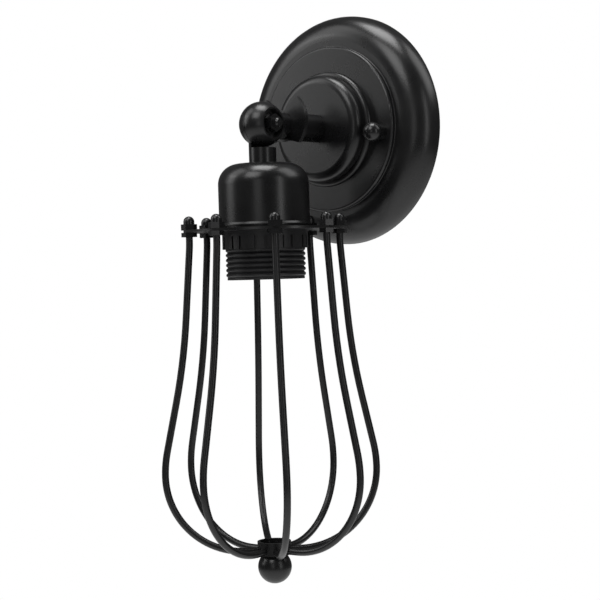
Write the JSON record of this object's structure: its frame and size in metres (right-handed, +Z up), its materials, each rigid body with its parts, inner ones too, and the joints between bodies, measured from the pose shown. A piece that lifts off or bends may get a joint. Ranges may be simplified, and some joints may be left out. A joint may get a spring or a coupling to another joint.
{
  "type": "cage wall light",
  "caption": "Wall light with a stepped round canopy, a short arm and a ball knuckle that tilts a socket cup with a threaded lampholder and an open wire cage.",
  "frame": {"origin": "centre of the wall screw pattern, on the wall plane behind the canopy", "axes": "+Z up, +Y into the wall, so the light stands out along -Y; +X to the viewer's right when facing the wall"},
  "size_m": [0.121, 0.1238, 0.2913],
  "materials": {
    "black_metal": "satin",
    "black_casting": "satin",
    "black_wire": "satin",
    "plated_steel": "satin",
    "brass": "satin",
    "ceramic": "gloss",
    "black_plastic": "matte",
    "live_sleeve": "matte",
    "neutral_sleeve": "matte"
  },
  "bodies": {
    "wall_part": {"canopy": "black_metal", "mounting_strap": "plated_steel", "canopy_studs": "plated_steel", "canopy_ball_nuts": "black_metal", "earth_screw": "brass", "terminal_block": "ceramic", "terminal_block_screws": "brass", "supply_lead_live": "live_sleeve", "supply_lead_neutral": "neutral_sleeve", "arm_nipple": "plated_steel", "arm_lock_washer": "plated_steel", "arm_locknut": "plated_steel", "arm_tube": "black_metal", "arm_wing_nut": "black_metal", "arm_knuckle": "black_casting", "pivot_screw": "black_metal", "pivot_washer": "black_metal", "pivot_spring_washer": "black_metal", "pivot_nut": "black_metal"},
    "lamp_head": {"lamp_knuckle": "black_casting", "neck_nipple": "plated_steel", "socket_cup": "black_metal", "cup_lock_washer": "plated_steel", "cup_locknut": "plated_steel", "lampholder_cap": "black_plastic", "lampholder_core": "ceramic", "lampholder_skirt": "black_plastic", "screw_shell": "brass", "centre_contact": "brass", "lampholder_terminals": "brass", "lamp_lead_live": "live_sleeve", "lamp_lead_neutral": "neutral_sleeve", "cage_ring": "black_metal", "retaining_ring": "black_plastic", "cage_cap_nuts": "black_metal", "cage_under_nuts": "black_metal", "cage_collar": "black_metal", "finial_screw": "plated_steel", "finial_ball": "black_metal", "wire_1": "black_wire", "wire_2": "black_wire", "wire_3": "black_wire", "wire_4": "black_wire", "wire_5": "black_wire", "wire_6": "black_wire", "wire_7": "black_wire", "wire_8": "black_wire"}
  },
  "joints": [
    {"name": "head_tilt", "type": "hinge", "parent": "wall_part", "child": "lamp_head", "pos_m": [0, -0.0686, 0], "axis": [1, 0, 0], "range_deg": [-180, 4]}
  ]
}
